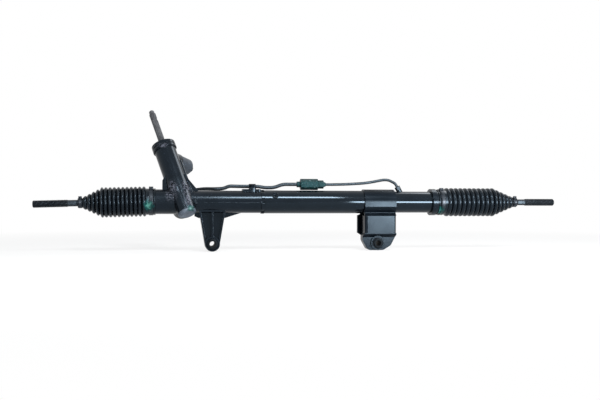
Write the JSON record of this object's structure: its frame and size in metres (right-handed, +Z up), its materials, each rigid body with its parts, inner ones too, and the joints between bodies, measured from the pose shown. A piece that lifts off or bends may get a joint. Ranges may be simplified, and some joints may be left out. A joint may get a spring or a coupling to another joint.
{
  "type": "steering rack",
  "caption": "Hydraulic rack-and-pinion steering gear: cast pinion housing with leaning input shaft, steel cylinder tube, lines, two rubber-bushed mounts, bellows and inner tie rods.",
  "frame": {"origin": "centre of the left mounting bush's bore", "axes": "+X to the right along the rack, +Y to the rear along the mounting bolts, +Z up"},
  "size_m": [1.1831, 0.1536, 0.3167],
  "materials": {
    "black_paint": "gloss",
    "bare_steel": "satin",
    "black_steel": "satin",
    "pale_metal": "satin",
    "rubber": "matte",
    "plastic": "matte",
    "seat_plastic": "matte"
  },
  "bodies": {
    "housing": {"rack_housing": "black_paint", "cylinder_tube": "black_paint", "tube_lock_ring": "black_paint", "tube_plug": "black_paint", "end_collar": "black_paint", "bracket_front": "black_paint", "bracket_rear": "black_paint", "bracket_bush_tube": "black_paint", "valve_cover": "black_paint", "gallery_plug": "black_paint", "yoke_plug": "black_paint", "yoke_lock_nut": "black_paint", "union_body": "black_paint", "union_nut": "black_paint", "valve_line": "black_paint", "cylinder_line": "black_paint", "short_line": "black_paint", "line_nuts": "black_paint", "line_clip": "black_paint", "clip_bolt": "black_paint", "rack_yoke": "bare_steel", "yoke_spring": "bare_steel", "lower_pinion_bearing": "bare_steel", "upper_pinion_bearing": "bare_steel", "input_shaft_bearing": "bare_steel", "bush_retainer": "bare_steel", "mount_bush_cores": "bare_steel", "mount_bush_sleeves": "bare_steel", "left_large_clamp": "black_steel", "right_large_clamp": "black_steel", "pinion_cap": "pale_metal", "solenoid": "pale_metal", "left_bellows": "rubber", "right_bellows": "rubber", "mount_bush_rubbers": "rubber", "rack_seals": "rubber", "input_shaft_seal": "rubber", "solenoid_connector": "plastic", "rack_bush": "plastic"},
    "rack": {"rack_bar": "bare_steel", "piston": "bare_steel", "piston_ring": "plastic", "left_ball_housing": "bare_steel", "right_ball_housing": "bare_steel", "lock_washers": "bare_steel"},
    "left_seat": {"left_ball_seat": "seat_plastic"},
    "right_seat": {"right_ball_seat": "seat_plastic"},
    "left_rod": {"left_tie_rod": "black_steel", "left_small_clamp": "black_steel"},
    "right_rod": {"right_tie_rod": "black_steel", "right_small_clamp": "black_steel"},
    "pinion": {"pinion": "bare_steel", "pinion_nut": "bare_steel", "valve_sleeve": "bare_steel", "torsion_bar": "bare_steel"},
    "input_shaft": {"input_shaft": "bare_steel"}
  },
  "joints": [
    {"name": "rack_slide", "type": "slide", "parent": "housing", "child": "rack", "axis": [1, 0, 0], "range_m": [-0.082, 0.04], "deforming": ["left_bellows", "right_bellows"]},
    {"name": "pinion_spin", "type": "hinge", "parent": "housing", "child": "pinion", "pos_m": [-0.0655, -0.01506, 0.09943], "axis": [-0.2949, 0.4226, 0.857], "range_deg": [-300, 610]},
    {"name": "input_twist", "type": "hinge", "parent": "pinion", "child": "input_shaft", "pos_m": [-0.0655, -0.01506, 0.09943], "axis": [-0.2949, 0.4226, 0.857], "range_deg": [-4.5, 4.5], "stiffness_Nm_per_rad": 52},
    {"name": "left_ball_yaw", "type": "hinge", "parent": "rack", "child": "left_seat", "pos_m": [-0.1585, 0, 0.092], "axis": [0, 0, 1], "range_deg": [-8, 8], "deforming": ["left_bellows"]},
    {"name": "left_ball_pitch", "type": "hinge", "parent": "left_seat", "child": "left_rod", "pos_m": [-0.1585, 0, 0.092], "axis": [0, 1, 0], "range_deg": [-12, 12], "deforming": ["left_bellows"]},
    {"name": "right_ball_yaw", "type": "hinge", "parent": "rack", "child": "right_seat", "pos_m": [0.5845, 0, 0.092], "axis": [0, 0, 1], "range_deg": [-8, 8], "deforming": ["right_bellows"]},
    {"name": "right_ball_pitch", "type": "hinge", "parent": "right_seat", "child": "right_rod", "pos_m": [0.5845, 0, 0.092], "axis": [0, 1, 0], "range_deg": [-12, 12], "deforming": ["right_bellows"]}
  ],
  "couplings": [
    {"joint": "pinion_spin", "follows": "rack_slide", "rad_per_m": -128.65}
  ]
}
